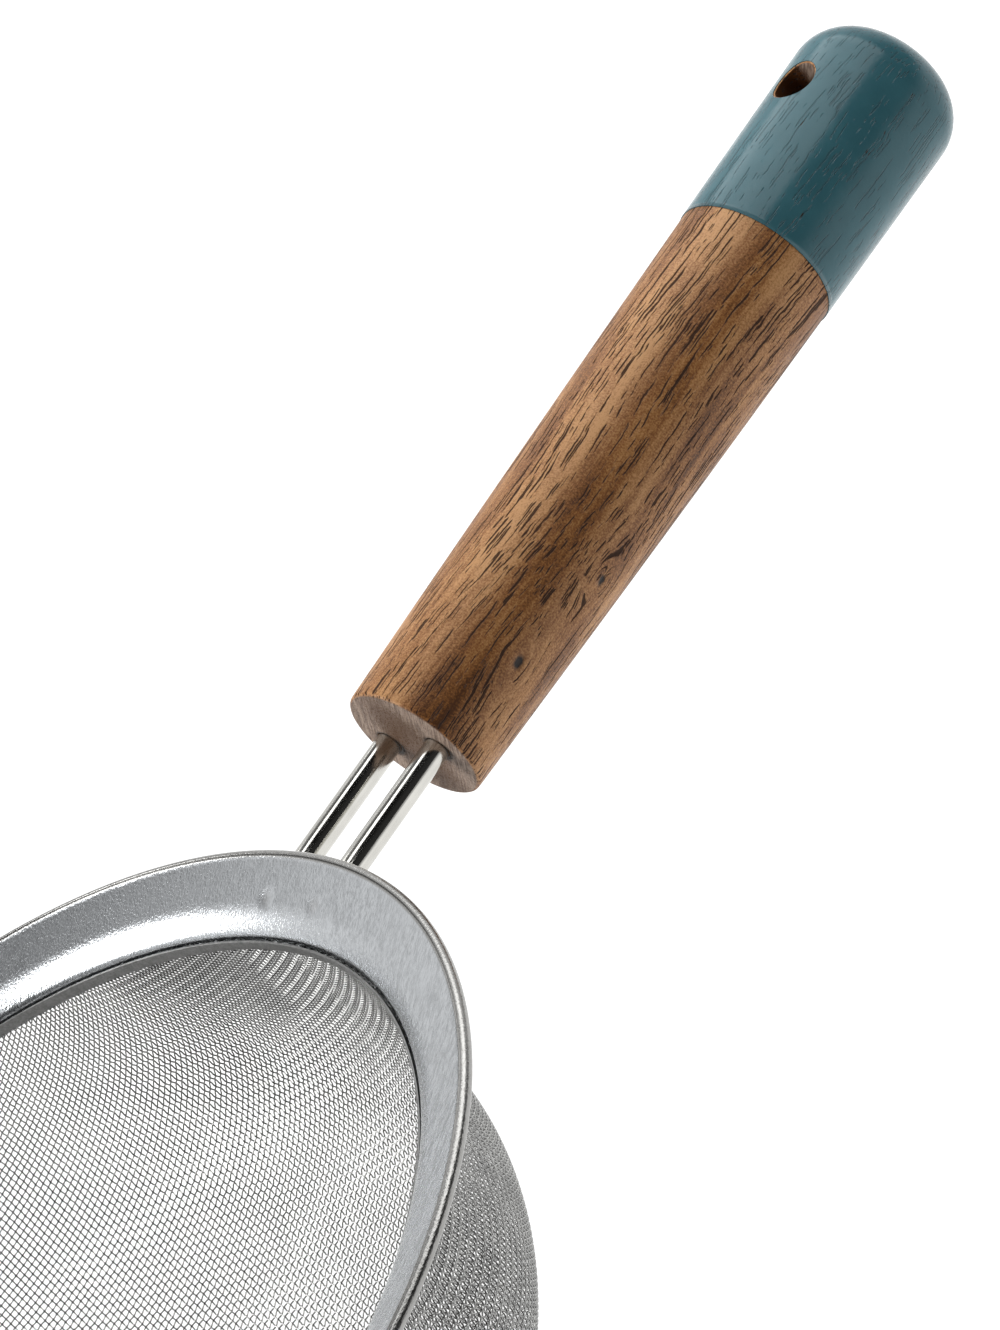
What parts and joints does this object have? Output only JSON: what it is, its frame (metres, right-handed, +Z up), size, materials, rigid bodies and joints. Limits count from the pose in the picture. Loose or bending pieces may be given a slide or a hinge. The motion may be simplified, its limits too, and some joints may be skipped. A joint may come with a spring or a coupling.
{
  "type": "fine mesh strainer",
  "caption": "Round-bottomed woven steel strainer with a wide sloped rim, a wire bowl rest and a turned wooden handle with a painted end, held on steel rods.",
  "frame": {"origin": "centre of the rim, level with the top of its rolled edge", "axes": "+X towards the handle, +Z up out of the bowl, +Y to the left when looking along +X"},
  "size_m": [0.305, 0.15, 0.0693],
  "materials": {
    "rim_steel": "satin brushed stainless sheet",
    "clamp_steel": "plain drawn stainless band",
    "mesh_steel": "plain woven stainless wire cloth",
    "rod_steel": "polished stainless wire",
    "weld_steel": "fused spot weld",
    "wood": "oiled open-pored hardwood",
    "paint": "semi-gloss dipped paint with the wood's pores showing through",
    "glue": "set adhesive"
  },
  "bodies": {
    "root": {"rim_ring": "rim_steel", "clamp_ring": "clamp_steel", "mesh_bowl": "mesh_steel", "rod_left": "rod_steel", "rod_right": "rod_steel", "rod_welds": "weld_steel", "handle": "wood", "handle_paint": "paint", "rod_adhesive": "glue", "bowl_rest": "rod_steel", "rest_welds": "weld_steel"}
  },
  "joints": []
}
